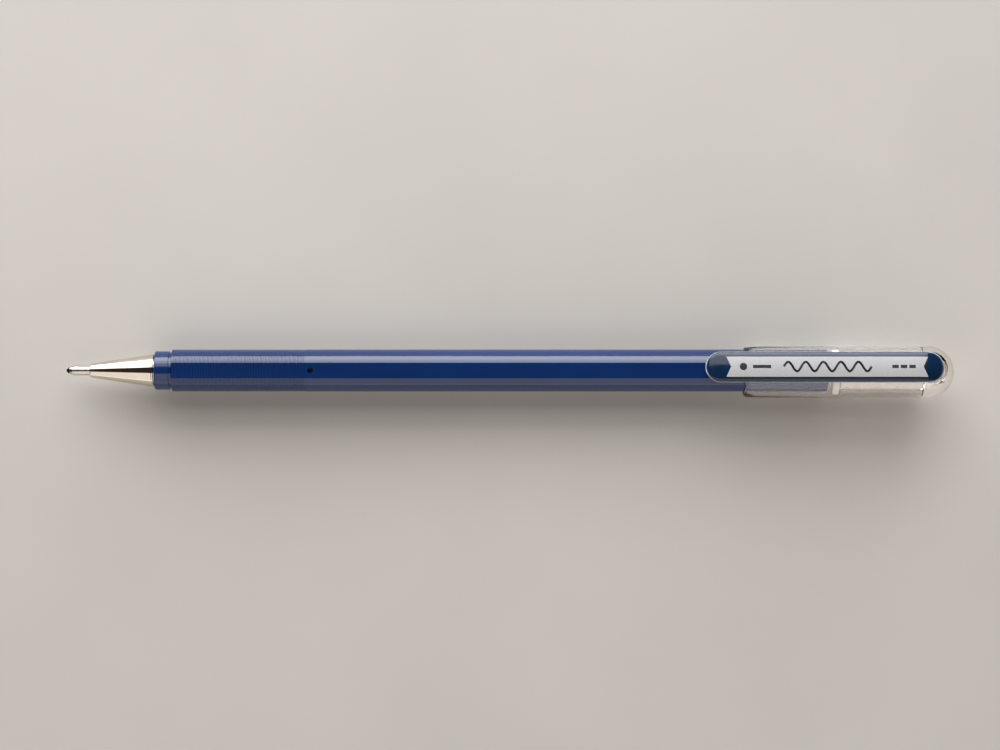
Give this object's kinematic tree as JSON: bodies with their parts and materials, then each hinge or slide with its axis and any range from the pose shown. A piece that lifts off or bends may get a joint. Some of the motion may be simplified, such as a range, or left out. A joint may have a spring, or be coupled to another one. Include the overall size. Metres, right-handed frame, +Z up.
{
  "type": "gel pen",
  "caption": "Slim gel pen with a metal nose cone, a round barrel with two flats and a fine-ribbed grip, and a clear cap with a coloured clip, posted on the tail.",
  "frame": {"origin": "on the surface the pen lies on, under the middle of the whole posted pen's box", "axes": "+X along the pen from the point to the cap's domed end, +Y to the side the clip leans to, +Z up"},
  "size_m": [0.1686, 0.0098, 0.0115],
  "materials": {
    "ball_carbide": "ground tungsten carbide, wet with ink",
    "point_metal": "turned nickel silver, satin",
    "spring_wire": "drawn wire",
    "holder_resin": "natural moulded acetal",
    "tube_resin": "clear extruded polypropylene",
    "ink": "wet opaque gel",
    "grease": "clear soft grease",
    "cone_plating": "polished bright nickel plate",
    "barrel_resin": "glossy moulded, fine ribs on the grip",
    "plug_resin": "moulded",
    "cap_resin": "clear moulded styrene",
    "seal_resin": "natural soft polyethylene",
    "stopper_rubber": "moulded elastomer",
    "clip_resin": "high gloss moulded, white printed band"
  },
  "bodies": {
    "barrel": {"barrel": "barrel_resin", "tail_plug": "plug_resin"},
    "refill": {"ink_tube": "tube_resin", "gel_ink": "ink", "point_holder": "holder_resin", "point": "point_metal", "ball_spring": "spring_wire"},
    "follower": {"ink_follower": "grease"},
    "ball": {"ball": "ball_carbide"},
    "cone": {"nose_cone": "cone_plating"},
    "cap": {"cap_shell": "cap_resin", "inner_seal": "seal_resin", "tip_stopper": "stopper_rubber"},
    "clip": {"clip": "clip_resin"}
  },
  "joints": [
    {"name": "cap_pull", "type": "slide", "parent": "barrel", "child": "cap", "axis": [1, 0, 0], "range_m": [0, 0.02]},
    {"name": "clip_flex", "type": "hinge", "parent": "cap", "child": "clip", "pos_m": [0.08044, 0.00068, 0.00869], "axis": [0, 0.9848, -0.1736], "range_deg": [0, 3], "stiffness_Nm_per_rad": 1},
    {"name": "refill_draw", "type": "slide", "parent": "barrel", "child": "refill", "axis": [-1, 0, 0], "range_m": [0, 0.0045]},
    {"name": "cone_unscrew", "type": "hinge", "parent": "refill", "child": "cone", "pos_m": [-0.0736, 0.0003, 0.00485], "axis": [-1, 0, 0], "range_deg": [0, 1620]},
    {"name": "ball_roll", "type": "hinge", "parent": "refill", "child": "ball", "pos_m": [-0.08379, 0.0003, 0.00485], "axis": [0, 1, 0], "continuous": true},
    {"name": "follower_creep", "type": "slide", "parent": "refill", "child": "follower", "axis": [-1, 0, 0], "range_m": [0, 0.087], "deforming": ["gel_ink"]}
  ],
  "couplings": [
    {"joint": "cone_unscrew", "follows": "refill_draw", "rad_per_m": 6283.2}
  ]
}
